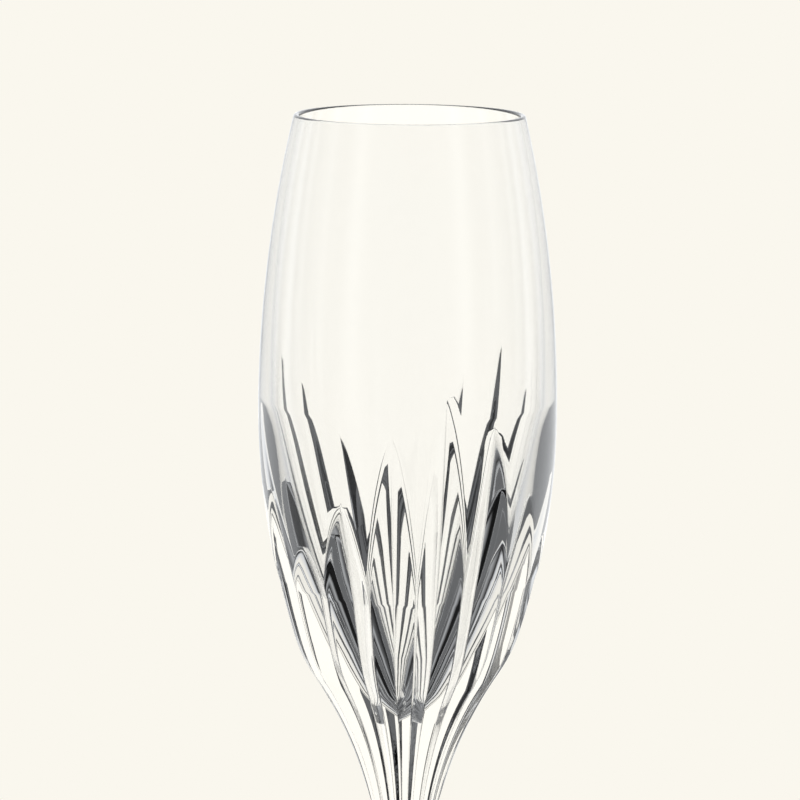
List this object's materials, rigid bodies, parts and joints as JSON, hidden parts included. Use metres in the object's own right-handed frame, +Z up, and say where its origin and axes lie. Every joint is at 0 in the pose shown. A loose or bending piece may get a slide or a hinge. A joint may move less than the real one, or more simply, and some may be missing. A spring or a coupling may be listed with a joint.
{
  "type": "champagne flute",
  "caption": "Tall cut-crystal champagne flute: closed-in bowl with a fan of mitre cuts, faceted stem and round foot.",
  "frame": {"origin": "centre of the foot on the plane it stands on", "axes": "+Z up along the axis of the glass, from foot to rim; +X to the right of a person drinking from the -Y side"},
  "size_m": [0.07, 0.07, 0.215],
  "materials": {
    "bowl_crystal": "clear polished crystal",
    "stem_crystal": "clear polished crystal",
    "foot_crystal": "clear polished crystal"
  },
  "bodies": {
    "root": {"bowl": "bowl_crystal", "stem": "stem_crystal", "foot": "foot_crystal"}
  },
  "joints": []
}
